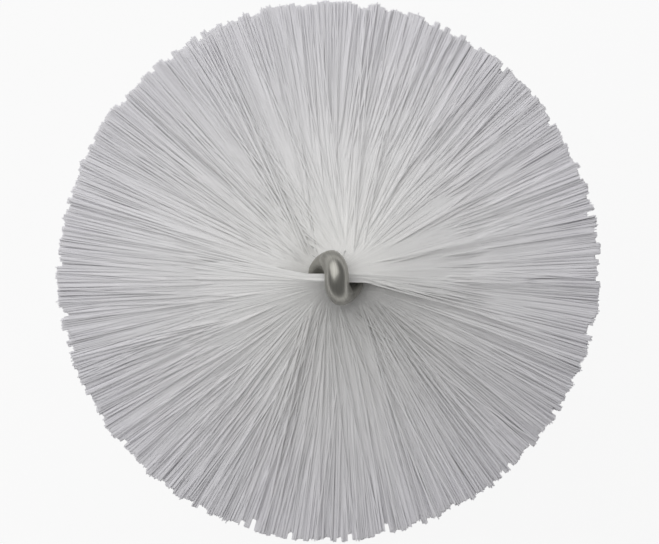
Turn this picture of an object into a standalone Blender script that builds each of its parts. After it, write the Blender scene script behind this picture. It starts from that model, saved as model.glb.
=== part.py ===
# Pipe brush head for a screw-on handle: a twisted wire stem with a double spiral fan of
# bristles, crimped in a steel ferrule that a cross pin holds in a moulded handle socket.
# The brush stands on the rim of its socket. The origin is the centre of that rim, and +Z
# runs along the stem to the folded tip of the wire. All sizes are in metres.
import math
import random

import bmesh
import bpy
from mathutils import Matrix, Vector

# Wire stem
WIRE_DIAMETER = 0.004
TWIST_LEAD = 0.020            # length of stem in which the legs turn once round each other
TWIST_EASE = 0.0015           # length over which the twist dies out below the fold
FOLD_DIRECTION = math.radians(90)
BARE_NECK = 0.008             # twisted stem between the ferrule and the bristles
WIRE_SIDES = 10
WIRE_STEPS_PER_TURN = 16
FOLD_STEPS = 10

# Bristles
BRUSH_DIAMETER = 0.090
BRISTLED_LENGTH = 0.100
STRAND_THICKNESS = 0.0006
STRAND_MARGIN = 0.0001        # backing left on each side of a strand's root
TUFT_FILL = 0.34              # share of the room to the next strand that a tip widens to fill
TUFT_HEIGHT = 0.0012          # height of a strand's tip
STRANDS_PER_SIDE = 20         # on each side of the stem, in half a turn
TRIM_VARIATION = 0.0008       # unevenness of the trimmed ends
TIP_LEAN = math.radians(12)   # the strands under the fold lean back from it
TIP_LEAN_DEPTH = 0.014        # depth under the fold over which that lean fades
TAIL_SPLAY = math.radians(4)  # lean of the last strands, towards the tail
LEAN_VARIATION = math.radians(0.4)
SPREAD_VARIATION = 0.12       # share of the angle to the next strand
TRIM_SEED = 90                # fixes the small variation from strand to strand

# Ferrule and pin
FERRULE_WALL = 0.0025
FERRULE_GRIP = 0.016          # depth of wire held in the ferrule
FERRULE_PLUG = 0.010          # solid end below the wire, which the pin crosses
FERRULE_STANDOUT = 0.004      # length of ferrule in front of the socket
FERRULE_EDGE = 0.0006
FERRULE_STEPS = 40
PIN_DIAMETER = 0.003
PIN_EDGE = 0.0004
PIN_RECESS = 0.0004           # how far each pin end lies below the boss
PIN_STEPS = 24

# Handle socket
THREAD_BORE = 0.024
THREAD_HEIGHT = 0.0012
THREAD_PITCH = 0.005
THREAD_CREST = 0.0010         # width of the thread's flat crest
THREAD_ROOT = 0.0026          # width of the thread where it meets the bore
THREAD_TURNS = 4
THREAD_START = 0.006          # height of the middle of the thread's lower end
THREAD_FADE = 0.4             # share of a turn over which each end of the thread rises
THREAD_STEPS_PER_TURN = 24
HANDLE_DEPTH = 0.038
SOCKET_WALL = 0.0035
RIM_BEAD = 0.0012             # how far the rim stands out from the grip
RIM_HEIGHT = 0.004
WEB_THICKNESS = 0.005         # floor between the handle bore and the ferrule
BOSS_WALL = 0.0037
SHOULDER_LENGTH = 0.010
SHOULDER_STEPS = 5
SOCKET_EDGE = 0.0008
FLUTE_COUNT = 12
FLUTE_DEPTH = 0.0009
FLUTE_RUNOUT = 0.003          # length over which a flute rises to the full radius
SOCKET_STEPS = 48

# Clearance kept between pieces that touch on the real brush
FIT_GAP = 0.0003

SMOOTH_ANGLE = math.radians(35)
MERGE_DISTANCE = 0.000001
CUT_OVERRUN = 0.002           # how far a cutter runs out of what it cuts
THREAD_BITE = 0.0004          # how deep the thread is rooted in the wall

# Radii that follow from the sizes above
WIRE_RADIUS = WIRE_DIAMETER / 2
BACKING_THICKNESS = STRAND_THICKNESS + 2 * STRAND_MARGIN
LEG_RADIUS = WIRE_RADIUS + BACKING_THICKNESS / 2 + FIT_GAP
STEM_RADIUS = LEG_RADIUS + WIRE_RADIUS
FERRULE_BORE_RADIUS = STEM_RADIUS + FIT_GAP
FERRULE_RADIUS = FERRULE_BORE_RADIUS + FERRULE_WALL
BOSS_BORE_RADIUS = FERRULE_RADIUS + FIT_GAP
BOSS_RADIUS = BOSS_BORE_RADIUS + BOSS_WALL
BORE_RADIUS = THREAD_BORE / 2
GRIP_RADIUS = BORE_RADIUS + SOCKET_WALL
RIM_RADIUS = GRIP_RADIUS + RIM_BEAD

# Heights that follow, from the rim upwards
FERRULE_SEAT = HANDLE_DEPTH + WEB_THICKNESS
FERRULE_BOTTOM = FERRULE_SEAT + FIT_GAP
FERRULE_FLOOR = FERRULE_BOTTOM + FERRULE_PLUG
FERRULE_TOP = FERRULE_FLOOR + FERRULE_GRIP
BOSS_TOP = FERRULE_TOP - FERRULE_STANDOUT
PIN_HEIGHT = FERRULE_BOTTOM + FERRULE_PLUG / 2
LEG_SLOPE = math.atan2(2 * math.pi * LEG_RADIUS, TWIST_LEAD)
WIRE_TAIL = FERRULE_FLOOR + FIT_GAP + WIRE_RADIUS * math.sin(LEG_SLOPE)
BRISTLES_START = FERRULE_TOP + BARE_NECK
BRISTLES_END = BRISTLES_START + BRISTLED_LENGTH
FOLD_BASE = BRISTLES_END + FIT_GAP
FAN_COUNT = max(1, round(BRISTLED_LENGTH / (TWIST_LEAD / 2)))


def clear_scene():
    """Remove every object that the file opened with."""
    for scene_object in list(bpy.data.objects):
        bpy.data.objects.remove(scene_object, do_unlink=True)


def make_material(name, colour, roughness, metallic):
    material = bpy.data.materials.new(name)
    material.use_nodes = True
    shader = material.node_tree.nodes["Principled BSDF"]
    shader.inputs["Base Color"].default_value = (*colour, 1.0)
    shader.inputs["Roughness"].default_value = roughness
    shader.inputs["Metallic"].default_value = metallic
    material.diffuse_color = (*colour, 1.0)
    return material


def add_object(name, data, parent, material=None):
    """Link an object to the scene under the brush's empty."""
    new_object = bpy.data.objects.new(name, data)
    bpy.context.scene.collection.objects.link(new_object)
    new_object.parent = parent
    if material:
        data.materials.append(material)
    return new_object


def mesh_from(bm, name, smooth=True):
    """Turn a bmesh into a mesh whose faces point out."""
    bmesh.ops.recalc_face_normals(bm, faces=bm.faces)
    mesh = bpy.data.meshes.new(name)
    bm.to_mesh(mesh)
    bm.free()
    if smooth:
        mesh.shade_smooth()
        mesh.set_sharp_from_angle(angle=SMOOTH_ANGLE)
    return mesh


def turned(profile, steps):
    """Spin a profile of (radius, height) points, which starts and ends on the axis."""
    bm = bmesh.new()
    vertices = [bm.verts.new((radius, 0, height)) for radius, height in profile]
    edges = [bm.edges.new(pair) for pair in zip(vertices, vertices[1:])]
    bmesh.ops.spin(bm, geom=vertices + edges, cent=(0, 0, 0), axis=(0, 0, 1), dvec=(0, 0, 0),
                   angle=2 * math.pi, steps=steps, use_merge=True, use_duplicate=False)
    bmesh.ops.remove_doubles(bm, verts=bm.verts, dist=MERGE_DISTANCE)
    return bm


def boolean(target, tool, operation):
    modifier = target.modifiers.new(tool.name, "BOOLEAN")
    modifier.operation = operation
    modifier.solver = "EXACT"
    modifier.object = tool


def add_guide(name, mesh, parent):
    """A shape that only cuts or joins another, so it is drawn as wires and not rendered."""
    guide = add_object(name, mesh, parent)
    guide.hide_render = True
    guide.display_type = "WIRE"
    return guide


def across(angle):
    """Unit vector square to the stem, in a direction from +X."""
    return Vector((math.cos(angle), math.sin(angle), 0))


def twist_angle(height):
    """Direction in which the first leg lies at a height. Seen from the tip, the legs turn
    counter-clockwise on their way down, and the turning starts gently below the fold."""
    depth = FOLD_BASE - height
    turned_length = depth - TWIST_EASE * (1 - math.exp(-depth / TWIST_EASE))
    return FOLD_DIRECTION + 2 * math.pi * turned_length / TWIST_LEAD


def stem_route():
    """Centreline of the wire: up one leg, round the fold and down the other leg."""
    leg_length = FOLD_BASE - WIRE_TAIL
    steps = math.ceil(leg_length / TWIST_LEAD * WIRE_STEPS_PER_TURN)
    up = []
    for step in range(steps):
        height = WIRE_TAIL + leg_length * step / steps
        up.append(across(twist_angle(height)) * LEG_RADIUS + Vector((0, 0, height)))
    fold = []
    for step in range(FOLD_STEPS + 1):
        bend = math.pi * step / FOLD_STEPS
        side = across(FOLD_DIRECTION) * LEG_RADIUS * math.cos(bend)
        fold.append(side + Vector((0, 0, FOLD_BASE + LEG_RADIUS * math.sin(bend))))
    down = [Vector((-point.x, -point.y, point.z)) for point in reversed(up)]
    return up + fold + down


def add_core_wire(parent, steel):
    """One wire, folded at the tip and twisted with left-hand legs."""
    curve = bpy.data.curves.new("core_wire", "CURVE")
    curve.dimensions = "3D"
    curve.bevel_depth = WIRE_RADIUS
    curve.bevel_resolution = WIRE_SIDES // 2 - 2
    curve.use_fill_caps = True
    route = stem_route()
    spline = curve.splines.new("POLY")
    spline.points.add(len(route) - 1)
    for spline_point, point in zip(spline.points, route):
        spline_point.co = (*point, 1)
    return add_object("core_wire", curve, parent, steel)


def backing_corner(height, side, thick):
    """A corner of the pinched filament middles, which lie between the legs."""
    leg = across(twist_angle(height))
    outward = across(twist_angle(height) + math.pi / 2)
    offset = outward * side * STEM_RADIUS + leg * thick * BACKING_THICKNESS / 2
    return offset + Vector((0, 0, height))


def backing_slice(bm, heights):
    """Twisted strip between the legs. Returns its narrow faces, one for each strand, as
    (face, side, middle height)."""
    corners = [(1, 1), (0, 1), (-1, 1), (-1, -1), (0, -1), (1, -1)]
    sections = []
    for height in heights:
        sections.append([bm.verts.new(backing_corner(height, *corner)) for corner in corners])
    bm.faces.new(sections[0])
    bm.faces.new(sections[-1])
    roots = []
    for index, (lower, upper) in enumerate(zip(sections, sections[1:])):
        middle = (heights[index] + heights[index + 1]) / 2
        for first, (side, _) in enumerate(corners):
            second = (first + 1) % len(corners)
            face = bm.faces.new((lower[first], lower[second], upper[second], upper[first]))
            if corners[second][0] == side:
                roots.append((face, side, middle))
    bm.normal_update()
    return roots


def strand_lean(height):
    """Slope of a strand, positive towards the fold."""
    back = TIP_LEAN * math.exp(-((BRISTLES_END - height) / TIP_LEAN_DEPTH) ** 2)
    tail = max(0, 1 - 2 * (height - BRISTLES_START) / BRISTLED_LENGTH)
    return -back - TAIL_SPLAY * tail ** 3


def grow_strand(bm, face, side, height, step, random_source):
    """Extrude a strand from its root out to the trimmed cylinder of the brush, and widen
    its tip as a tuft of filaments does. step is the height to the next strand. Just under
    the fold, where the stem hardly turns, the strands have less room and vary less."""
    to_next = abs(twist_angle(height + step / 2) - twist_angle(height - step / 2))
    room = to_next * TWIST_LEAD / (2 * math.pi * step)
    spread = random_source.uniform(-SPREAD_VARIATION, SPREAD_VARIATION) * to_next
    outward = across(twist_angle(height) + side * math.pi / 2 + spread)
    lean = strand_lean(height) + random_source.uniform(-LEAN_VARIATION, LEAN_VARIATION) * room
    radius = BRUSH_DIAMETER / 2 - random_source.uniform(0, TRIM_VARIATION)
    reach = (outward + Vector((0, 0, math.tan(lean)))) * (radius - STEM_RADIUS)
    bmesh.ops.inset_individual(bm, faces=[face], thickness=STRAND_MARGIN, use_even_offset=True)
    tip = bmesh.ops.extrude_discrete_faces(bm, faces=[face])["faces"][0]
    middle = tip.calc_center_median()
    sideways = across(twist_angle(height) + spread)
    wider = max(1, TUFT_FILL * to_next * radius / STRAND_THICKNESS)
    taller = 1 + (TUFT_HEIGHT / (step - 2 * STRAND_MARGIN) - 1) * room
    for corner in tip.verts:
        off = corner.co - middle
        growth = sideways * off.dot(sideways) * (wider - 1) + Vector((0, 0, off.z * (taller - 1)))
        corner.co += growth + reach


def add_bristle_fans(parent, polyester):
    """The bristles, one fan for each half turn of the stem, counted from the tip."""
    random_source = random.Random(TRIM_SEED)
    fan_length = BRISTLED_LENGTH / FAN_COUNT
    for index in range(FAN_COUNT):
        top = BRISTLES_END - index * fan_length - FIT_GAP / 2
        bottom = BRISTLES_END - (index + 1) * fan_length + FIT_GAP / 2
        step = (top - bottom) / STRANDS_PER_SIDE
        bm = bmesh.new()
        heights = [bottom + step * count for count in range(STRANDS_PER_SIDE + 1)]
        for face, side, height in backing_slice(bm, heights):
            grow_strand(bm, face, side, height, step, random_source)
        name = f"bristle_fan_{index + 1:02d}"
        add_object(name, mesh_from(bm, name, smooth=False), parent, polyester)


def pin_cylinder(radius, length):
    """Cylinder along X, centred on the origin."""
    bm = bmesh.new()
    bmesh.ops.create_cone(bm, cap_ends=True, segments=PIN_STEPS, radius1=radius, radius2=radius,
                          depth=length, matrix=Matrix.Rotation(math.pi / 2, 4, "Y"))
    return bm


def add_pin_hole(parent):
    """Guide for the hole that crosses the boss and the ferrule's plug."""
    bm = pin_cylinder(PIN_DIAMETER / 2 + FIT_GAP, 2 * (BOSS_RADIUS + CUT_OVERRUN))
    hole = add_guide("pin_hole", mesh_from(bm, "pin_hole"), parent)
    hole.location.z = PIN_HEIGHT
    return hole


def add_cross_pin(parent, steel):
    bm = pin_cylinder(PIN_DIAMETER / 2, 2 * (BOSS_RADIUS - PIN_RECESS))
    rims = [edge for edge in bm.edges if edge.verts[0].co.x * edge.verts[1].co.x > 0]
    bmesh.ops.bevel(bm, geom=rims, offset=PIN_EDGE, segments=1, affect="EDGES")
    pin = add_object("cross_pin", mesh_from(bm, "cross_pin"), parent, steel)
    pin.location.z = PIN_HEIGHT
    return pin


def add_stem_ferrule(parent, steel, pin_hole):
    """Steel cup on the tail of the wire, with a solid plug that the pin crosses."""
    profile = [
        (0, FERRULE_BOTTOM),
        (FERRULE_RADIUS - FERRULE_EDGE, FERRULE_BOTTOM),
        (FERRULE_RADIUS, FERRULE_BOTTOM + FERRULE_EDGE),
        (FERRULE_RADIUS, FERRULE_TOP - FERRULE_EDGE),
        (FERRULE_RADIUS - FERRULE_EDGE, FERRULE_TOP),
        (FERRULE_BORE_RADIUS, FERRULE_TOP),
        (FERRULE_BORE_RADIUS, FERRULE_FLOOR),
        (0, FERRULE_FLOOR),
    ]
    mesh = mesh_from(turned(profile, FERRULE_STEPS), "stem_ferrule")
    ferrule = add_object("stem_ferrule", mesh, parent, steel)
    boolean(ferrule, pin_hole, "DIFFERENCE")
    return ferrule


def shoulder():
    """Smooth fall of the socket from its grip to its boss, as (radius, height) points."""
    points = []
    for step in range(SHOULDER_STEPS + 1):
        share = step / SHOULDER_STEPS
        radius = GRIP_RADIUS + (BOSS_RADIUS - GRIP_RADIUS) * (1 - math.cos(math.pi * share)) / 2
        points.append((radius, HANDLE_DEPTH + SHOULDER_LENGTH * share))
    return points


def socket_profile():
    """Half section of the socket: ferrule seat, boss, shoulder, grip, rim and handle bore."""
    flute_bottom = RIM_HEIGHT + RIM_BEAD
    return [
        (0, FERRULE_SEAT),
        (BOSS_BORE_RADIUS, FERRULE_SEAT),
        (BOSS_BORE_RADIUS, BOSS_TOP),
        (BOSS_RADIUS - SOCKET_EDGE, BOSS_TOP),
        (BOSS_RADIUS, BOSS_TOP - SOCKET_EDGE),
        *reversed(shoulder()),
        (GRIP_RADIUS, HANDLE_DEPTH - FLUTE_RUNOUT),
        (GRIP_RADIUS, flute_bottom + FLUTE_RUNOUT),
        (GRIP_RADIUS, flute_bottom),
        (RIM_RADIUS, RIM_HEIGHT),
        (RIM_RADIUS, SOCKET_EDGE),
        (RIM_RADIUS - SOCKET_EDGE, 0),
        (BORE_RADIUS + SOCKET_EDGE, 0),
        (BORE_RADIUS, SOCKET_EDGE),
        (BORE_RADIUS, HANDLE_DEPTH),
        (0, HANDLE_DEPTH),
    ]


def press_flutes(bm):
    """Draw the full length of the grip in, in smooth waves round the socket."""
    lowest = RIM_HEIGHT + RIM_BEAD + FLUTE_RUNOUT - MERGE_DISTANCE
    highest = HANDLE_DEPTH - FLUTE_RUNOUT + MERGE_DISTANCE
    for vertex in bm.verts:
        radius = math.hypot(vertex.co.x, vertex.co.y)
        if lowest <= vertex.co.z <= highest and radius > (BORE_RADIUS + GRIP_RADIUS) / 2:
            angle = math.atan2(vertex.co.y, vertex.co.x)
            wave = (1 - math.cos(FLUTE_COUNT * angle)) / 2
            scale = (radius - FLUTE_DEPTH * wave) / radius
            vertex.co.x *= scale
            vertex.co.y *= scale


def add_socket_thread(parent):
    """Guide for the inside thread: a ridge along a helix that rises out of the bore's wall."""
    steps = round(THREAD_TURNS * THREAD_STEPS_PER_TURN)
    bm = bmesh.new()
    sections = []
    for step in range(steps + 1):
        turn = step / THREAD_STEPS_PER_TURN
        rise = min(1, turn / THREAD_FADE, (THREAD_TURNS - turn) / THREAD_FADE)
        crest = BORE_RADIUS - THREAD_HEIGHT * rise
        root = BORE_RADIUS + THREAD_BITE
        middle = THREAD_START + THREAD_PITCH * turn
        outline = [
            (root, -THREAD_ROOT / 2),
            (crest, -THREAD_CREST / 2),
            (crest, THREAD_CREST / 2),
            (root, THREAD_ROOT / 2),
        ]
        section = []
        for radius, offset in outline:
            point = across(2 * math.pi * turn) * radius + Vector((0, 0, middle + offset))
            section.append(bm.verts.new(point))
        sections.append(section)
    bm.faces.new(sections[0])
    bm.faces.new(sections[-1])
    for lower, upper in zip(sections, sections[1:]):
        for first in range(len(lower)):
            second = (first + 1) % len(lower)
            bm.faces.new((lower[first], lower[second], upper[second], upper[first]))
    return add_guide("socket_thread", mesh_from(bm, "socket_thread"), parent)


def add_handle_socket(parent, plastic, pin_hole):
    """Moulded socket: inside thread for the handle below, boss for the ferrule above."""
    bm = turned(socket_profile(), SOCKET_STEPS)
    press_flutes(bm)
    socket = add_object("handle_socket", mesh_from(bm, "handle_socket"), parent, plastic)
    boolean(socket, add_socket_thread(parent), "UNION")
    boolean(socket, pin_hole, "DIFFERENCE")
    return socket


def build():
    clear_scene()
    brush = bpy.data.objects.new("pipe_brush", None)
    bpy.context.scene.collection.objects.link(brush)
    wire_steel = make_material("wire_steel", (0.42, 0.41, 0.39), 0.28, 1.0)
    turned_steel = make_material("turned_steel", (0.50, 0.50, 0.49), 0.35, 1.0)
    polyester = make_material("polyester", (0.72, 0.71, 0.74), 0.45, 0.0)
    plastic = make_material("moulded_plastic", (0.80, 0.80, 0.79), 0.40, 0.0)
    add_core_wire(brush, wire_steel)
    add_bristle_fans(brush, polyester)
    pin_hole = add_pin_hole(brush)
    add_cross_pin(brush, turned_steel)
    add_stem_ferrule(brush, turned_steel, pin_hole)
    add_handle_socket(brush, plastic, pin_hole)


build()
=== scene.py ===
import math

import bpy
import numpy as np
from mathutils import Matrix, Vector


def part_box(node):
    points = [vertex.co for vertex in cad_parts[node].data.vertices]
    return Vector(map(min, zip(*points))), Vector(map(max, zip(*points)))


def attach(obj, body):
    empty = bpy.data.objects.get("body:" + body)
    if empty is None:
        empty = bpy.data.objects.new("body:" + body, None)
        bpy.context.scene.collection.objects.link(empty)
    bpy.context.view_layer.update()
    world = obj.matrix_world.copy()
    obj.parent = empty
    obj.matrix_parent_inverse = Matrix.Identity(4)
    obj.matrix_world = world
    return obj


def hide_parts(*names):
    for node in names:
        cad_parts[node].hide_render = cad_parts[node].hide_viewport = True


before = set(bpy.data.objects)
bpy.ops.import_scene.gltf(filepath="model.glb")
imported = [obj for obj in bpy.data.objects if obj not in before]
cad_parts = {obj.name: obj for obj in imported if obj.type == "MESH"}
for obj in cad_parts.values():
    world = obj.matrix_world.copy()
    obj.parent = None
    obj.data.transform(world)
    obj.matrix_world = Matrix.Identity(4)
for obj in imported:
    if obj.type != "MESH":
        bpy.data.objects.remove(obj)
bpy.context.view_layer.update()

# Sizes of the wire and bristles, repeated from the model
WIRE_DIAMETER = 0.004
TWIST_LEAD = 0.020
TWIST_EASE = 0.0015
FOLD_DIRECTION = math.radians(90)
BRISTLED_LENGTH = 0.100
FAN_COUNT = 10
FIT_GAP = 0.0003

# Sizes of the ferrule, pin and socket, repeated from the model
FERRULE_PLUG = 0.010
PIN_RECESS = 0.0004
THREAD_BORE = 0.024
THREAD_HEIGHT = 0.0012
THREAD_PITCH = 0.005
THREAD_CREST = 0.0010
THREAD_ROOT = 0.0026
THREAD_TURNS = 4
THREAD_START = 0.006
THREAD_FADE = 0.4
RIM_BEAD = 0.0012
RIM_HEIGHT = 0.004
WEB_THICKNESS = 0.005
SHOULDER_LENGTH = 0.010
SOCKET_EDGE = 0.0008
FLUTE_COUNT = 12
FLUTE_DEPTH = 0.0009
FLUTE_RUNOUT = 0.003

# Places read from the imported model
wire_low, wire_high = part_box("core_wire")
socket_low, socket_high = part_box("handle_socket")
ferrule_low, ferrule_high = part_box("stem_ferrule")
pin_low, pin_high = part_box("cross_pin")
WIRE_RADIUS = WIRE_DIAMETER / 2
STEM_RADIUS = (wire_high[1] - wire_low[1]) / 2
LEG_RADIUS = STEM_RADIUS - WIRE_RADIUS
FOLD_BASE = wire_high[2] - STEM_RADIUS
BRISTLES_END = FOLD_BASE - FIT_GAP
BRISTLES_START = BRISTLES_END - BRISTLED_LENGTH
FERRULE_BOTTOM = ferrule_low[2]
FERRULE_TOP = ferrule_high[2]
FERRULE_RADIUS = ferrule_high[0]
PIN_HEIGHT = (pin_low[2] + pin_high[2]) / 2
PIN_RADIUS = (pin_high[2] - pin_low[2]) / 2
PIN_REACH = pin_high[0]
RIM_RADIUS = socket_high[0]
BOSS_TOP = socket_high[2]
BOSS_BORE_RADIUS = FERRULE_RADIUS + FIT_GAP
BOSS_RADIUS = PIN_REACH + PIN_RECESS
BORE_RADIUS = THREAD_BORE / 2
GRIP_RADIUS = RIM_RADIUS - RIM_BEAD
FERRULE_SEAT = FERRULE_BOTTOM - FIT_GAP
HANDLE_DEPTH = FERRULE_SEAT - WEB_THICKNESS

# Camera. An angle in the picture is counted anticlockwise from its right.
PHOTO_WIDTH = 659
PIXELS_PER_METRE = 6080
CAMERA_DISTANCE = 0.600
CAMERA_TILT = math.radians(1)
CAMERA_ROLL = math.radians(17)
SENSOR_WIDTH = 36.0
NEAREST_SEEN = 0.01


def seen_at(picture_degrees):
    """Direction in the model, from +X, of a direction in the picture."""
    return math.radians(picture_degrees) - CAMERA_ROLL


CAMERA_SIDE = seen_at(141)

# Number and size of the strands
BRUSH_RADIUS = 0.0454
FILAMENT_RADIUS = 0.00011
STRANDS_IN_TOP_FANS = 7600
STRANDS_IN_OTHER_FANS = 3000
TOP_FANS = 2
STRAND_SIDES = 3
STRAND_ROLL = 0.25  # share of a side that turns one side of a strand up
STRAND_SHARES = np.array([0, 0.1, 0.22, 0.6, 1.0])  # a strand's rings, the second at the mouth
SEED = 41

# Way of a strand out from the stem. Each pair is the variation of a tuft and of one filament.
TUFT_SIZE = 9  # neighbouring filaments that cling together
HEIGHT_VARIATION = 0.00008
TURN_VARIATION = (math.radians(0.6), math.radians(0.9))
LEAN_VARIATION = (math.radians(0.08), math.radians(0.12))
BOW_TURN_VARIATION = (math.radians(0.5), math.radians(0.5))
BOW_LEAN_VARIATION = (math.radians(0.08), math.radians(0.12))
STRAY_SHARE = 0.03
STRAY_LEAN = math.radians(1.5)
FIRST_TURN = math.radians(19)  # how far the fold pushes the first filaments back
FIRST_TURN_DEPTH = 0.003
GAP_FILLING = 0.0006  # a filament lies this far or less off the middle of the legs
SPREAD = math.radians(8)  # from the mouth of the legs' gap outwards
WIDE_SHARE = 0.1  # share of the filaments that spread further
WIDEST_SPREAD = math.radians(45)
END_SPREAD = 0.5  # share of the spread that the first and the last filaments have
TAIL_SPLAY = math.radians(4)

# The first filaments end in a crest
CREST_DEPTH = 0.00245
CREST_LIFT = 0.36
CREST_EASE = 0.0006
CREST_REACH = 0.005
LARGEST_EXPONENT = 30

# The strands further down crowd up under the first ones, and less towards the ferrule
CROWD_LIFT = 0.0081
CROWD_START = 0.0070
CROWD_END = 0.0104
CROWD_REACH = 0.003
CROWD_DEPTH = 0.025

# A strand that spreads lies down on the ones it crosses
SETTLED = 0.8
SETTLE_REACH = 0.010

# The strands at the tip lean back, most near the stem
DOME_SLOPE = math.radians(16)
DOME_FLATTENING = 0.7  # share of that slope lost at the rim
DOME_DEPTH = 0.013

# The trimmed round of the brush lies this far off the stem
TRIM_OFFSET = 0.00147
TRIM_DIRECTION = seen_at(140)

# Round the rim, clumps of filaments are cut to about the same length
CLUMPS = 300
CLUMP_VARIATION = 0.0006
CUT_VARIATION = 0.0002
LOWER_CUT = 0.0010  # how much shorter the filaments below the top fans are cut

# Surface of the strands, and the brightness of single ones
FILAMENT_ROUGHNESS = 0.34
POLYESTER_IOR = 1.57
TONE = 0.98
TONE_VARIATION = 0.02
LOWEST_TONE = 0.9
DARK_SHARE = 0.004
DARK_TONE = 0.65

# Wire
FOLD_TWIST = math.radians(15)  # of the fold's top against its foot
STEPS_PER_TURN = 64
FOLD_STEPS = 32
WIRE_SIDES = 32
TAIL_RISE = 0.65  # of the wire's radius, from the low edge of its slanted end to the middle

# Ferrule: a groove round it, and a lip rolled in against the legs
FERRULE_SIDES = 128
FERRULE_FOOT_EDGE = 0.0006
FERRULE_TOP_EDGE = 0.0009
GROOVE_LOW = 0.0031  # below the ferrule's top, as is the next
GROOVE_HIGH = 0.0020
GROOVE_FLANK = 0.0003
GROOVE_DEPTH = 0.00025
GROOVE_EDGE = 0.0001
LIP_LENGTH = 0.0012
LIP_SLOPE = 0.0006
LIP_OUTER_EDGE = 0.0005
LIP_INNER_EDGE = 0.0002

# Pin and its hole
PIN_SIDES = 64
PIN_EDGE = 0.0004
HOLE_OVERSHOOT = 0.002

# Socket: the mould's parting line and gate mark, its edges, and the steps of its profile
SOCKET_SIDES = 192
PARTING_HEIGHT = 0.00008
PARTING_WIDTH = 0.00030
PARTING_STEPS = 3
GATE_RADIUS = 0.0030
GATE_DEPTH = 0.0004
GATE_EDGE = 0.0002
GATE_FLOOR_EDGE = 0.0001
BOSS_BORE_EDGE = 0.0003
GRIP_EDGE = 0.0010
RIM_BEAD_EDGE = 0.0006
BORE_END_EDGE = 0.0006
SHOULDER_STEPS = 24
GRIP_STEP = 0.0008
THREADED_FROM = 0.003
THREAD_STEP = 0.00025

# Light. The slant is how much more of the world's light comes from one side.
WORLD_SLANT = 0.6
FLOOR_SIZE = 4
FLOOR_GREY = 0.9
FLOOR_WHITENESS = 0.9  # share of plain white in the floor that the camera and metal see


def smooth_step(share):
    share = np.clip(share, 0, 1)
    return share * share * (3 - 2 * share)


def twist_angle(height):
    """Direction of the first leg of the wire at a height, or at an array of heights."""
    depth = FOLD_BASE - height
    turned_length = depth - TWIST_EASE * (1 - np.exp(-depth / TWIST_EASE))
    return FOLD_DIRECTION + 2 * math.pi * turned_length / TWIST_LEAD


def link(name, mesh, material):
    piece = bpy.data.objects.new(name, mesh)
    bpy.context.scene.collection.objects.link(piece)
    mesh.materials.append(material)
    return piece


def dress(piece, slot, *nodes):
    """A finished piece hangs from the root body and stands for its CAD nodes, which are hidden. slot is not
    used.
    """
    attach(piece, "root")
    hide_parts(*nodes)


def shade(mesh, sharp_degrees):
    """Smooth shading, with edges kept sharp where faces meet at this angle or more."""
    mesh.shade_smooth()
    mesh.set_sharp_from_angle(angle=math.radians(sharp_degrees))


def new_material(name):
    """A material with its nodes, its links and its Principled shader."""
    material = bpy.data.materials.new(name)
    material.use_nodes = True
    tree = material.node_tree
    return material, tree.nodes, tree.links, tree.nodes["Principled BSDF"]


def add_noise(nodes, scale, detail):
    noise = nodes.new("ShaderNodeTexNoise")
    noise.inputs["Scale"].default_value = scale
    noise.inputs["Detail"].default_value = detail
    return noise


def add_ramp(nodes, *ends):
    """Colour ramp between two ends, each a position and a colour."""
    ramp = nodes.new("ShaderNodeValToRGB")
    for element, (position, colour) in zip(ramp.color_ramp.elements, ends):
        element.position = position
        element.color = (*colour, 1)
    return ramp


def add_range(nodes, low, high, from_low=0, from_high=1):
    mapped = nodes.new("ShaderNodeMapRange")
    mapped.inputs["From Min"].default_value = from_low
    mapped.inputs["From Max"].default_value = from_high
    mapped.inputs["To Min"].default_value = low
    mapped.inputs["To Max"].default_value = high
    return mapped


def add_bump(nodes, strength, distance):
    bump = nodes.new("ShaderNodeBump")
    bump.inputs["Strength"].default_value = strength
    bump.inputs["Distance"].default_value = distance
    return bump


def add_product(nodes, factors):
    """Vector Math node that multiplies a vector by three factors."""
    product = nodes.new("ShaderNodeVectorMath")
    product.operation = "MULTIPLY"
    product.inputs[1].default_value = factors
    return product


def strand_mesh(name, paths):
    """Closed strands along paths, an array of (strands, points, 3). Each strand has a side
    that faces up, and its shading is smooth along it only."""
    strands, points, _ = paths.shape
    tangents = np.gradient(paths, axis=1)
    tangents /= np.linalg.norm(tangents, axis=2, keepdims=True)
    up = np.zeros_like(tangents)
    up[..., 2] = 1
    first = np.cross(up, tangents)
    first /= np.linalg.norm(first, axis=2, keepdims=True)
    second = np.cross(tangents, first)
    turn = (np.arange(STRAND_SIDES) + STRAND_ROLL) * 2 * math.pi / STRAND_SIDES
    ring = np.cos(turn)[:, None] * first[:, :, None, :] + np.sin(turn)[:, None] * second[:, :, None, :]
    vertices = paths[:, :, None, :] + FILAMENT_RADIUS * ring
    index = np.arange(strands * points * STRAND_SIDES).reshape(strands, points, STRAND_SIDES)
    following = np.roll(index, -1, axis=2)
    quads = np.stack([index[:, :-1], following[:, :-1], following[:, 1:], index[:, 1:]], axis=-1)
    caps = np.concatenate([index[:, 0, ::-1], index[:, -1]])
    mesh = bpy.data.meshes.new(name)
    mesh.from_pydata(vertices.reshape(-1, 3).tolist(), [], quads.reshape(-1, 4).tolist() + caps.tolist())
    shade(mesh, sharp_degrees=60)
    return mesh


def crowd_rise(depth):
    """How far the strands that start at a depth below the tip crowd up under the first ones."""
    share = smooth_step((depth - CROWD_START) / (CROWD_END - CROWD_START))
    return CROWD_LIFT * share * np.exp(-(depth / CROWD_DEPTH) ** 4)


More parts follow.
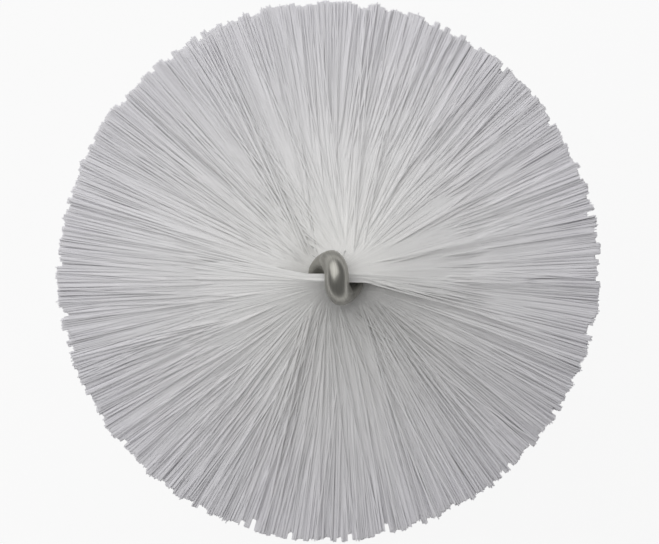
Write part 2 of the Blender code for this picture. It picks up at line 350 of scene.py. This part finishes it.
def draw_strands(random_source, heights, depth):
    """What sets each strand apart: its turn from the straight way out, its lean, its bow to
    the side and up, its place in the legs' gap and how much shorter it is cut."""
    count = len(heights)
    tuft = np.arange(count) // TUFT_SIZE
    tufts = tuft[-1] + 1

    def varied(variation):
        of_tuft, of_filament = variation
        return random_source.normal(0, of_tuft, tufts)[tuft] + random_source.normal(0, of_filament, count)

    wide = random_source.random(count) < WIDE_SHARE
    wide_spread = random_source.triangular(-1, 0, 1, count) * WIDEST_SPREAD
    spread = np.where(wide, wide_spread, random_source.normal(0, SPREAD, count))
    # The first filaments and the last ones spread back only.
    at_end = (depth < CREST_DEPTH) | (heights < BRISTLES_START + CREST_DEPTH)
    spread = np.where(at_end, -np.abs(spread) * END_SPREAD, spread)
    turn = spread + varied(TURN_VARIATION)
    lean = varied(LEAN_VARIATION)
    stray = random_source.random(count) < STRAY_SHARE
    lean = lean + stray * random_source.normal(0, STRAY_LEAN, count)
    along = 2 * (heights - BRISTLES_START) / (BRISTLES_END - BRISTLES_START) - 1
    lean = lean - TAIL_SPLAY * np.maximum(-along, 0) ** 3
    bow_turn = varied(BOW_TURN_VARIATION)
    bow_lean = varied(BOW_LEAN_VARIATION)
    offset = random_source.uniform(-GAP_FILLING, GAP_FILLING, count)
    cut = np.abs(random_source.normal(0, CUT_VARIATION, count))
    return turn, lean, bow_turn, bow_lean, offset, cut


def strand_paths(random_source, heights, sides, brush_radius, clump_cuts):
    """Centrelines of the filaments. Each runs straight out to the mouth of the gap between
    the legs, and from there in its own direction to the trimmed round."""
    depth = np.maximum(BRISTLES_END - heights, 0)
    turn, lean, bow_turn, bow_lean, offset, cut = draw_strands(random_source, heights, depth)
    back = FIRST_TURN * np.exp(-depth / FIRST_TURN_DEPTH)
    angle = twist_angle(heights) + sides * math.pi / 2 - back
    outward = np.stack([np.cos(angle), np.sin(angle), np.zeros_like(angle)], axis=1)
    sideways = np.stack([-np.sin(angle), np.cos(angle), np.zeros_like(angle)], axis=1)
    upward = np.array([0, 0, 1.0])
    # The span is how much further out than the mouth a strand ends.
    mouth = STEM_RADIUS
    trim = brush_radius + TRIM_OFFSET * np.cos(angle + turn - TRIM_DIRECTION)
    slope = np.tan(turn)
    root = np.sqrt(trim ** 2 * (1 + slope ** 2) - (mouth * slope) ** 2)
    span = (mouth * slope ** 2 + root) / (1 + slope ** 2) - mouth
    tip_angle = angle + np.arctan2(offset + span * (slope + np.tan(bow_turn)), mouth + span)
    clump = np.floor(tip_angle / (2 * math.pi) * CLUMPS).astype(int) % CLUMPS
    span = span - clump_cuts[clump] - cut
    out = np.clip((STRAND_SHARES - STRAND_SHARES[1]) / (1 - STRAND_SHARES[1]), 0, 1)
    free = span[:, None] * out
    radius = mouth * np.minimum(STRAND_SHARES / STRAND_SHARES[1], 1) + free
    side_shift = free * (slope[:, None] + np.tan(bow_turn)[:, None] * out)
    lift = free * (np.tan(lean)[:, None] + np.tan(bow_lean)[:, None] * out)
    # The first filaments lie on each other, level with the fold's foot, up to the crest.
    past_crest = np.clip((depth - CREST_DEPTH) / CREST_EASE, -LARGEST_EXPONENT, LARGEST_EXPONENT)
    crest = CREST_LIFT * depth / (1 + np.exp(past_crest))
    lift = lift + crest[:, None] * (1 - np.exp(-free / CREST_REACH))
    crowd = crowd_rise(depth)
    lift = lift + crowd[:, None] * (1 - np.exp(-radius / CROWD_REACH))
    further_down = turn * TWIST_LEAD / (2 * math.pi)
    settled = SETTLED * (further_down + crowd - crowd_rise(depth + further_down))
    lift = lift - settled[:, None] * (1 - np.exp(-free / SETTLE_REACH))
    dome = math.tan(DOME_SLOPE) * span[:, None] * (out - DOME_FLATTENING * out ** 3 / 3)
    lift = lift - dome * np.exp(-depth / DOME_DEPTH)[:, None]
    paths = outward[:, None, :] * radius[..., None]
    paths = paths + sideways[:, None, :] * (offset[:, None] + side_shift)[..., None]
    return paths + upward * (heights[:, None] + lift)[..., None]


def bristle_material():
    """White filament, a little warm near the stem and cool at its tip."""
    material, nodes, links, shader = new_material("polyester_filament")
    shader.inputs["Roughness"].default_value = FILAMENT_ROUGHNESS
    shader.inputs["IOR"].default_value = POLYESTER_IOR
    tone = nodes.new("ShaderNodeAttribute")
    tone.attribute_name = "strand_tone"
    along = nodes.new("ShaderNodeAttribute")
    along.attribute_name = "strand_along"
    ramp = add_ramp(nodes, (0.15, (0.97, 0.965, 0.95)), (0.95, (0.94, 0.93, 0.96)))
    mix = nodes.new("ShaderNodeMix")
    mix.data_type = "RGBA"
    mix.blend_type = "MULTIPLY"
    mix.inputs["Factor"].default_value = 1.0
    links.new(along.outputs["Fac"], ramp.inputs["Fac"])
    links.new(ramp.outputs["Color"], mix.inputs[6])
    links.new(tone.outputs["Color"], mix.inputs[7])
    links.new(mix.outputs[2], shader.inputs["Base Color"])
    return material


def add_bristles():
    material = bristle_material()
    random_source = np.random.default_rng(SEED)
    fan_length = (BRISTLES_END - BRISTLES_START) / FAN_COUNT
    clump_cuts = np.abs(random_source.normal(0, CLUMP_VARIATION, CLUMPS))
    ring_points = STRAND_SIDES * len(STRAND_SHARES)
    for fan in range(FAN_COUNT):
        top = BRISTLES_END - fan * fan_length
        strands = STRANDS_IN_TOP_FANS if fan < TOP_FANS else STRANDS_IN_OTHER_FANS
        brush_radius = BRUSH_RADIUS if fan < TOP_FANS else BRUSH_RADIUS - LOWER_CUT
        half = strands // 2
        steps = (np.arange(half) + 0.5) / half
        heights = top - fan_length * np.concatenate([steps, steps])
        heights = heights + random_source.normal(0, HEIGHT_VARIATION, strands)
        sides = np.repeat([1, -1], half)
        mesh = strand_mesh(
            f"bristles_{fan + 1:02d}",
            strand_paths(random_source, heights, sides, brush_radius, clump_cuts),
        )
        tones = np.clip(random_source.normal(TONE, TONE_VARIATION, strands), LOWEST_TONE, 1)
        tones[random_source.random(strands) < DARK_SHARE] = DARK_TONE
        colours = np.ones((strands * ring_points, 4))
        colours[:, :3] = np.repeat(tones, ring_points)[:, None]
        layer = mesh.color_attributes.new("strand_tone", "FLOAT_COLOR", "POINT")
        layer.data.foreach_set("color", colours.ravel())
        along = np.tile(np.repeat(STRAND_SHARES, STRAND_SIDES), strands)
        layer = mesh.attributes.new("strand_along", "FLOAT", "POINT")
        layer.data.foreach_set("value", along)
        dress(link(mesh.name, mesh, material), "polyester", f"bristle_fan_{fan + 1:02d}")


def wire_material():
    """Bright drawn wire: fine lines along it, dulled in places where it was handled."""
    material, nodes, links, shader = new_material("drawn_wire")
    shader.inputs["Metallic"].default_value = 1.0
    place = nodes.new("ShaderNodeAttribute")
    place.attribute_name = "place_on_wire"
    stretched = add_product(nodes, (9000, 9000, 160))
    lines = add_noise(nodes, scale=1, detail=3)
    handled = add_noise(nodes, scale=420, detail=4)
    ramp = add_ramp(nodes, (0.32, (0.34, 0.335, 0.30)), (0.68, (0.43, 0.42, 0.39)))
    rough = add_range(nodes, 0.29, 0.39, from_low=0.3, from_high=0.7)
    bump = add_bump(nodes, strength=0.35, distance=0.00002)
    coordinates = nodes.new("ShaderNodeTexCoord")
    links.new(place.outputs["Vector"], stretched.inputs[0])
    links.new(stretched.outputs[0], lines.inputs["Vector"])
    links.new(coordinates.outputs["Object"], handled.inputs["Vector"])
    links.new(lines.outputs["Fac"], ramp.inputs["Fac"])
    links.new(ramp.outputs["Color"], shader.inputs["Base Color"])
    links.new(handled.outputs["Fac"], rough.inputs["Value"])
    links.new(rough.outputs["Result"], shader.inputs["Roughness"])
    links.new(lines.outputs["Fac"], bump.inputs["Height"])
    links.new(bump.outputs["Normal"], shader.inputs["Normal"])
    return material


def stem_route():
    """Middle of the wire: up one leg, over the fold and down the other leg."""
    tail = wire_low[2] + WIRE_RADIUS * TAIL_RISE
    leg_length = FOLD_BASE - tail
    count = math.ceil(leg_length / TWIST_LEAD * STEPS_PER_TURN)
    heights = tail + leg_length * np.arange(count) / count
    angle = twist_angle(heights)
    up = np.stack([np.cos(angle) * LEG_RADIUS, np.sin(angle) * LEG_RADIUS, heights], axis=1)
    bend = np.linspace(0, math.pi, FOLD_STEPS + 1)
    reach = LEG_RADIUS * np.cos(bend)
    direction = FOLD_DIRECTION - FOLD_TWIST * np.sin(bend) ** 2
    fold = np.stack([
        reach * np.cos(direction),
        reach * np.sin(direction),
        FOLD_BASE + LEG_RADIUS * np.sin(bend),
    ], axis=1)
    down = up[::-1] * np.array([-1, -1, 1])
    return np.concatenate([up, fold, down])


def wire_mesh(name, route):
    """Closed tube along the route, its rings turned as little as possible."""
    tangents = np.gradient(route, axis=0)
    tangents /= np.linalg.norm(tangents, axis=1, keepdims=True)
    off_the_wire = [0.3, 0.2, 0.9]
    normal = np.cross(tangents[0], off_the_wire)
    normals = []
    for tangent in tangents:
        normal = normal - tangent * normal.dot(tangent)
        normal = normal / np.linalg.norm(normal)
        normals.append(normal)
    normals = np.array(normals)
    binormals = np.cross(tangents, normals)
    turn = round_angles(WIRE_SIDES)
    ring = np.cos(turn)[:, None] * normals[:, None, :] + np.sin(turn)[:, None] * binormals[:, None, :]
    vertices = route[:, None, :] + WIRE_RADIUS * ring
    index = np.arange(len(route) * WIRE_SIDES).reshape(len(route), WIRE_SIDES)
    caps = [index[0, ::-1].tolist(), index[-1].tolist()]
    mesh = bpy.data.meshes.new(name)
    mesh.from_pydata(vertices.reshape(-1, 3).tolist(), [], ring_quads(index) + caps)
    shade(mesh, sharp_degrees=40)
    # Place on the wire for its drawn lines: across it, and along its length.
    steps = np.linalg.norm(np.diff(route, axis=0), axis=1)
    along = np.concatenate([[0], np.cumsum(steps)])
    place = np.zeros((len(route), WIRE_SIDES, 3))
    place[..., 0] = WIRE_RADIUS * np.cos(turn)
    place[..., 1] = WIRE_RADIUS * np.sin(turn)
    place[..., 2] = along[:, None]
    layer = mesh.attributes.new("place_on_wire", "FLOAT_VECTOR", "POINT")
    layer.data.foreach_set("vector", place.ravel())
    return mesh


def add_wire():
    mesh = wire_mesh("twisted_wire", stem_route())
    dress(link("twisted_wire", mesh, wire_material()), "wire_steel", "core_wire")


def round_angles(count):
    return np.arange(count) * 2 * math.pi / count


def ring_quads(index):
    """Faces between rings of vertices, given as an array of (rings, vertices of a ring)."""
    following = np.roll(index, -1, axis=1)
    quads = np.stack([index[:-1], following[:-1], following[1:], index[1:]], axis=-1)
    return quads.reshape(-1, 4).tolist()


def rounded(corners, steps=5):
    """Profile through (radius, height, rounding) corners, each rounded by an arc."""
    points = []
    for index, (radius, height, rounding) in enumerate(corners):
        corner = Vector((radius, height))
        if rounding == 0:
            points.append(corner)
            continue
        before = (Vector(corners[index - 1][:2]) - corner).normalized()
        after = (Vector(corners[index + 1][:2]) - corner).normalized()
        half = before.angle(after) / 2
        centre = corner + (before + after).normalized() * rounding / math.sin(half)
        first = corner + before * rounding / math.tan(half) - centre
        last = corner + after * rounding / math.tan(half) - centre
        for step in range(steps + 1):
            points.append(centre + first.lerp(last, step / steps).normalized() * rounding)
    return points


def turned_mesh(name, profile, angles, shape=None):
    """Closed solid turned from a profile that starts and ends on the axis. shape gives each
    point its own radius from its radius, height and angle."""
    profile = np.array(profile)
    radius = np.repeat(profile[1:-1, :1], len(angles), axis=1)
    height = np.repeat(profile[1:-1, 1:], len(angles), axis=1)
    if shape:
        radius = shape(radius, height, angles[None, :])
    vertices = np.stack([radius * np.cos(angles), radius * np.sin(angles), height], axis=-1)
    poles = [(0, 0, profile[0, 1]), (0, 0, profile[-1, 1])]
    index = np.arange(radius.size).reshape(radius.shape)
    following = np.roll(index, -1, axis=1)
    first_pole = radius.size
    faces = ring_quads(index)
    faces += [(first_pole, b, a) for a, b in zip(index[0], following[0])]
    faces += [(first_pole + 1, a, b) for a, b in zip(index[-1], following[-1])]
    mesh = bpy.data.meshes.new(name)
    mesh.from_pydata(vertices.reshape(-1, 3).tolist() + poles, [], faces)
    mesh.update()
    return mesh


def bored(name, mesh, cutter):
    """The mesh with the cutter's shape cut out of it."""
    whole = bpy.data.objects.new(name + "_whole", mesh)
    tool = bpy.data.objects.new(name + "_cutter", cutter)
    for guide in (whole, tool):
        bpy.context.scene.collection.objects.link(guide)
    cut = whole.modifiers.new("cut", "BOOLEAN")
    cut.operation = "DIFFERENCE"
    cut.object = tool
    evaluated = whole.evaluated_get(bpy.context.evaluated_depsgraph_get())
    result = bpy.data.meshes.new_from_object(evaluated)
    result.name = name
    for guide in (whole, tool):
        bpy.data.objects.remove(guide)
    return result


def along_x(mesh):
    """Lay a turned mesh down, its axis along X at the height of the pin."""
    mesh.transform(Matrix.Translation((0, 0, PIN_HEIGHT)) @ Matrix.Rotation(math.pi / 2, 4, "Y"))
    return mesh


def pin_hole():
    radius = PIN_RADIUS + FIT_GAP
    reach = BOSS_RADIUS + HOLE_OVERSHOOT
    profile = [(0, -reach), (radius, -reach), (radius, reach), (0, reach)]
    return along_x(turned_mesh("pin_hole", profile, round_angles(PIN_SIDES)))


def add_pin(material):
    profile = rounded([
        (0, -PIN_REACH, 0),
        (PIN_RADIUS, -PIN_REACH, PIN_EDGE),
        (PIN_RADIUS, PIN_REACH, PIN_EDGE),
        (0, PIN_REACH, 0),
    ])
    mesh = along_x(turned_mesh("pin", profile, round_angles(PIN_SIDES)))
    shade(mesh, sharp_degrees=35)
    dress(link("pin", mesh, material), "turned_steel", "cross_pin")


def add_ferrule(material):
    """Cup crimped round the tail of the wire."""
    bore = STEM_RADIUS + FIT_GAP
    lip = STEM_RADIUS + FIT_GAP / 3
    lip_height = FERRULE_TOP - LIP_LENGTH
    floor_height = FERRULE_BOTTOM + FERRULE_PLUG
    groove_low = FERRULE_TOP - GROOVE_LOW
    groove_high = FERRULE_TOP - GROOVE_HIGH
    groove_radius = FERRULE_RADIUS - GROOVE_DEPTH
    profile = rounded([
        (0, FERRULE_BOTTOM, 0),
        (FERRULE_RADIUS, FERRULE_BOTTOM, FERRULE_FOOT_EDGE),
        (FERRULE_RADIUS, groove_low, GROOVE_EDGE),
        (groove_radius, groove_low + GROOVE_FLANK, GROOVE_EDGE),
        (groove_radius, groove_high - GROOVE_FLANK, GROOVE_EDGE),
        (FERRULE_RADIUS, groove_high, GROOVE_EDGE),
        (FERRULE_RADIUS, FERRULE_TOP, FERRULE_TOP_EDGE),
        (lip, FERRULE_TOP, LIP_OUTER_EDGE),
        (lip, lip_height, LIP_INNER_EDGE),
        (bore, lip_height - LIP_SLOPE, LIP_INNER_EDGE),
        (bore, floor_height, 0),
        (0, floor_height, 0),
    ])
    mesh = turned_mesh("ferrule", profile, round_angles(FERRULE_SIDES))
    mesh = bored("ferrule", mesh, pin_hole())
    shade(mesh, sharp_degrees=35)
    dress(link("ferrule", mesh, material), "turned_steel", "stem_ferrule")


def socket_profile():
    shoulder = []
    for share in np.linspace(1, 0, SHOULDER_STEPS + 1)[:-1]:
        fall = (1 - math.cos(math.pi * share)) / 2
        radius = GRIP_RADIUS + (BOSS_RADIUS - GRIP_RADIUS) * fall
        shoulder.append((radius, HANDLE_DEPTH + SHOULDER_LENGTH * share, 0))
    grip_bottom = RIM_HEIGHT + RIM_BEAD
    grip_heights = np.arange(HANDLE_DEPTH, grip_bottom + GRIP_EDGE, -GRIP_STEP)
    thread_top = THREAD_START + THREAD_PITCH * THREAD_TURNS + THREAD_ROOT
    thread_heights = np.arange(THREADED_FROM, thread_top, THREAD_STEP)
    return rounded([
        (0, FERRULE_SEAT, 0),
        (BOSS_BORE_RADIUS, FERRULE_SEAT, BOSS_BORE_EDGE),
        (BOSS_BORE_RADIUS, BOSS_TOP, BOSS_BORE_EDGE),
        (BOSS_RADIUS, BOSS_TOP, SOCKET_EDGE),
        *shoulder,
        *[(GRIP_RADIUS, height, 0) for height in grip_heights],
        (GRIP_RADIUS, grip_bottom, GRIP_EDGE),
        (RIM_RADIUS, RIM_HEIGHT, RIM_BEAD_EDGE),
        (RIM_RADIUS, 0, SOCKET_EDGE),
        (BORE_RADIUS, 0, SOCKET_EDGE),
        *[(BORE_RADIUS, height, 0) for height in thread_heights],
        (BORE_RADIUS, HANDLE_DEPTH, BORE_END_EDGE),
        (GATE_RADIUS, HANDLE_DEPTH, GATE_EDGE),
        (GATE_RADIUS - GATE_DEPTH, HANDLE_DEPTH + GATE_DEPTH, GATE_FLOOR_EDGE),
        (0, HANDLE_DEPTH + GATE_DEPTH, 0),
    ])


def socket_shape(radius, height, angle):
    """Flutes and the mould's parting line outside, and the handle's thread inside."""
    outside = radius > (BORE_RADIUS + GRIP_RADIUS) / 2
    low = RIM_HEIGHT + RIM_BEAD
    share = smooth_step((height - low) / FLUTE_RUNOUT) * smooth_step((HANDLE_DEPTH - height) / FLUTE_RUNOUT)
    flute = FLUTE_DEPTH * share * (1 - np.cos(FLUTE_COUNT * angle)) / 2
    from_line = np.abs(np.cos(angle)) * radius
    line = PARTING_HEIGHT * smooth_step(1 - from_line / PARTING_WIDTH)
    line = line * (radius > BOSS_RADIUS - SOCKET_EDGE / 2)
    thread = np.zeros_like(radius)
    for lap in range(THREAD_TURNS + 1):
        turn = angle / (2 * math.pi) + lap
        rise = np.clip(np.minimum(turn, THREAD_TURNS - turn) / THREAD_FADE, 0, 1)
        off_middle = np.abs(height - THREAD_START - THREAD_PITCH * turn)
        flank = smooth_step((THREAD_ROOT / 2 - off_middle) / (THREAD_ROOT / 2 - THREAD_CREST / 2))
        thread = np.maximum(thread, THREAD_HEIGHT * rise * flank)
    in_bore = np.abs(radius - BORE_RADIUS) < FIT_GAP / 10
    return radius - flute * outside + line - thread * in_bore


def add_socket():
    across_line = np.arange(-PARTING_STEPS, PARTING_STEPS + 1) * PARTING_WIDTH / PARTING_STEPS
    near_line = across_line / GRIP_RADIUS
    lines = [math.pi / 2 + near_line, math.pi * 3 / 2 + near_line]
    angles = np.unique(np.round(np.concatenate([round_angles(SOCKET_SIDES), *lines]), 6))
    mesh = turned_mesh("socket", socket_profile(), angles, socket_shape)
    mesh = bored("socket", mesh, pin_hole())
    shade(mesh, sharp_degrees=35)
    dress(link("socket", mesh, plastic_material()), "moulded_plastic", "handle_socket")


def plastic_material():
    """White moulding: fine satin grain, with faint cloudiness from the flow of the plastic."""
    material, nodes, links, shader = new_material("moulded_plastic")
    coordinates = nodes.new("ShaderNodeTexCoord")
    cloud = add_noise(nodes, scale=60, detail=3)
    ramp = add_ramp(nodes, (0.3, (0.77, 0.77, 0.755)), (0.7, (0.82, 0.82, 0.81)))
    grain = add_noise(nodes, scale=2600, detail=2)
    rough = add_range(nodes, 0.34, 0.48)
    bump = add_bump(nodes, strength=0.12, distance=0.00005)
    links.new(coordinates.outputs["Object"], cloud.inputs["Vector"])
    links.new(coordinates.outputs["Object"], grain.inputs["Vector"])
    links.new(cloud.outputs["Fac"], ramp.inputs["Fac"])
    links.new(ramp.outputs["Color"], shader.inputs["Base Color"])
    links.new(grain.outputs["Fac"], rough.inputs["Value"])
    links.new(rough.outputs["Result"], shader.inputs["Roughness"])
    links.new(grain.outputs["Fac"], bump.inputs["Height"])
    links.new(bump.outputs["Normal"], shader.inputs["Normal"])
    return material


def turned_material(name, axis):
    """Steel with the fine rings that a lathe leaves round an axis, X or Z."""
    material, nodes, links, shader = new_material(name)
    shader.inputs["Metallic"].default_value = 1.0
    coordinates = nodes.new("ShaderNodeTexCoord")
    centred = nodes.new("ShaderNodeVectorMath")
    centred.operation = "SUBTRACT"
    centred.inputs[1].default_value = (0, 0, PIN_HEIGHT)
    across = add_product(nodes, (0, 1, 1) if axis == "X" else (1, 1, 0))
    distance = nodes.new("ShaderNodeVectorMath")
    distance.operation = "LENGTH"
    apart = nodes.new("ShaderNodeSeparateXYZ")
    ring_place = nodes.new("ShaderNodeCombineXYZ")
    rings = add_noise(nodes, scale=9000, detail=3)
    smears = add_noise(nodes, scale=250, detail=3)
    ramp = add_ramp(nodes, (0.3, (0.45, 0.45, 0.44)), (0.7, (0.56, 0.56, 0.55)))
    rough = add_range(nodes, 0.24, 0.42)
    bump = add_bump(nodes, strength=0.25, distance=0.00003)
    links.new(coordinates.outputs["Object"], centred.inputs[0])
    links.new(centred.outputs[0], across.inputs[0])
    links.new(across.outputs[0], distance.inputs[0])
    links.new(centred.outputs[0], apart.inputs[0])
    links.new(distance.outputs["Value"], ring_place.inputs["X"])
    links.new(apart.outputs[axis], ring_place.inputs["Y"])
    links.new(ring_place.outputs["Vector"], rings.inputs["Vector"])
    links.new(coordinates.outputs["Object"], smears.inputs["Vector"])
    links.new(rings.outputs["Fac"], ramp.inputs["Fac"])
    links.new(ramp.outputs["Color"], shader.inputs["Base Color"])
    links.new(smears.outputs["Fac"], rough.inputs["Value"])
    links.new(rough.outputs["Result"], shader.inputs["Roughness"])
    links.new(rings.outputs["Fac"], bump.inputs["Height"])
    links.new(bump.outputs["Normal"], shader.inputs["Normal"])
    return material


def add_camera():
    """The camera looks straight at the tip, with the trimmed round in the middle."""
    camera_data = bpy.data.cameras.new("camera")
    camera_data.sensor_width = SENSOR_WIDTH
    camera_data.lens = SENSOR_WIDTH * CAMERA_DISTANCE * PIXELS_PER_METRE / PHOTO_WIDTH
    camera_data.clip_start = NEAREST_SEEN
    camera = bpy.data.objects.new("camera", camera_data)
    bpy.context.scene.collection.objects.link(camera)
    side = Vector((math.cos(CAMERA_SIDE), math.sin(CAMERA_SIDE), 0))
    back = side * math.sin(CAMERA_TILT) + Vector((0, 0, math.cos(CAMERA_TILT)))
    up_angle = math.pi / 2 - CAMERA_ROLL
    up = Vector((math.cos(up_angle), math.sin(up_angle), 0))
    up = (up - back * up.dot(back)).normalized()
    right = up.cross(back)
    trim = Vector((math.cos(TRIM_DIRECTION), math.sin(TRIM_DIRECTION), 0)) * TRIM_OFFSET
    target = trim + Vector((0, 0, BRISTLES_END))
    turn = Matrix((right, up, back)).transposed().to_4x4()
    camera.matrix_world = Matrix.Translation(target + back * CAMERA_DISTANCE) @ turn
    bpy.context.scene.camera = camera


def ray_share(nodes, links, kinds):
    """1 for rays of any of these kinds of Light Path, 0 for the others."""
    path = nodes.new("ShaderNodeLightPath")
    share = path.outputs[kinds[0]]
    for kind in kinds[1:]:
        either = nodes.new("ShaderNodeMath")
        either.operation = "MAXIMUM"
        links.new(share, either.inputs[0])
        links.new(path.outputs[kind], either.inputs[1])
        share = either.outputs[0]
    return share


def add_world(level, ceiling, image_angle):
    """White behind the object, a soft light on it that comes more from one side, and for
    metal a background that is white at the floor and falls to the ceiling's grey."""
    world = bpy.data.worlds.new("studio")
    bpy.context.scene.world = world
    world.use_nodes = True
    nodes = world.node_tree.nodes
    links = world.node_tree.links
    nodes.clear()
    coordinates = nodes.new("ShaderNodeTexCoord")
    towards = nodes.new("ShaderNodeVectorMath")
    towards.operation = "DOT_PRODUCT"
    towards.inputs[1].default_value = (math.cos(seen_at(image_angle)), math.sin(seen_at(image_angle)), 0)
    share = add_range(nodes, level * (1 - WORLD_SLANT), level * (1 + WORLD_SLANT), from_low=-1)
    light = nodes.new("ShaderNodeBackground")
    light.inputs["Color"].default_value = (1, 1, 1, 1)
    links.new(coordinates.outputs["Generated"], towards.inputs[0])
    links.new(towards.outputs["Value"], share.inputs["Value"])
    links.new(share.outputs["Result"], light.inputs["Strength"])
    axes = nodes.new("ShaderNodeSeparateXYZ")
    ramp = add_ramp(nodes, (0.0, (1, 1, 1)), (0.1, (ceiling, ceiling, ceiling)))
    links.new(coordinates.outputs["Generated"], axes.inputs[0])
    links.new(axes.outputs["Z"], ramp.inputs["Fac"])
    mirrored = nodes.new("ShaderNodeBackground")
    links.new(ramp.outputs["Color"], mirrored.inputs["Color"])
    white = nodes.new("ShaderNodeBackground")
    white.inputs["Color"].default_value = (1, 1, 1, 1)
    reflect = nodes.new("ShaderNodeMixShader")
    see = nodes.new("ShaderNodeMixShader")
    output = nodes.new("ShaderNodeOutputWorld")
    links.new(ray_share(nodes, links, ["Is Glossy Ray", "Is Transmission Ray"]), reflect.inputs[0])
    links.new(light.outputs[0], reflect.inputs[1])
    links.new(mirrored.outputs[0], reflect.inputs[2])
    links.new(ray_share(nodes, links, ["Is Camera Ray"]), see.inputs[0])
    links.new(reflect.outputs[0], see.inputs[1])
    links.new(white.outputs[0], see.inputs[2])
    links.new(see.outputs[0], output.inputs["Surface"])


def add_floor():
    """White floor that keeps the object's shadow."""
    bpy.ops.mesh.primitive_plane_add(size=FLOOR_SIZE, location=(0, 0, 0))
    floor = bpy.context.object
    floor.name = "floor"
    material = bpy.data.materials.new("floor")
    material.use_nodes = True
    nodes = material.node_tree.nodes
    links = material.node_tree.links
    nodes.clear()
    matt = nodes.new("ShaderNodeBsdfDiffuse")
    matt.inputs["Color"].default_value = (FLOOR_GREY, FLOOR_GREY, FLOOR_GREY, 1)
    white = nodes.new("ShaderNodeEmission")
    white.inputs["Strength"].default_value = 1.0
    share = nodes.new("ShaderNodeMath")
    share.operation = "MULTIPLY"
    share.inputs[1].default_value = FLOOR_WHITENESS
    mix = nodes.new("ShaderNodeMixShader")
    output = nodes.new("ShaderNodeOutputMaterial")
    seen = ray_share(nodes, links, ["Is Camera Ray", "Is Glossy Ray", "Is Transmission Ray"])
    links.new(seen, share.inputs[0])
    links.new(share.outputs[0], mix.inputs[0])
    links.new(matt.outputs[0], mix.inputs[1])
    links.new(white.outputs[0], mix.inputs[2])
    links.new(mix.outputs[0], output.inputs["Surface"])
    floor.data.materials.append(material)


def add_area(name, image_angle, elevation, distance, size, power):
    """Square lamp that faces the tip. image_angle is its direction in the picture, counted
    from the right, and elevation its height above the plane of the bristles."""
    lamp_data = bpy.data.lights.new(name, "AREA")
    lamp_data.shape = "SQUARE"
    lamp_data.size = size
    lamp_data.energy = power
    lamp = bpy.data.objects.new(name, lamp_data)
    bpy.context.scene.collection.objects.link(lamp)
    angle = seen_at(image_angle)
    rise = math.radians(elevation)
    away = Vector((math.cos(angle) * math.cos(rise), math.sin(angle) * math.cos(rise), math.sin(rise)))
    lamp.location = Vector((0, 0, BRISTLES_END)) + away * distance
    lamp.rotation_euler = away.to_track_quat("Z", "Y").to_euler()


add_camera()
add_world(level=0.243, ceiling=0.22, image_angle=152)
add_floor()
add_area("key", image_angle=122, elevation=50, distance=1.4, size=1.8, power=14.0)
add_wire()
add_bristles()
add_ferrule(turned_material("turned_ferrule", "Z"))
add_pin(turned_material("turned_pin", "X"))
add_socket()
bpy.context.scene.view_settings.view_transform = "Standard"
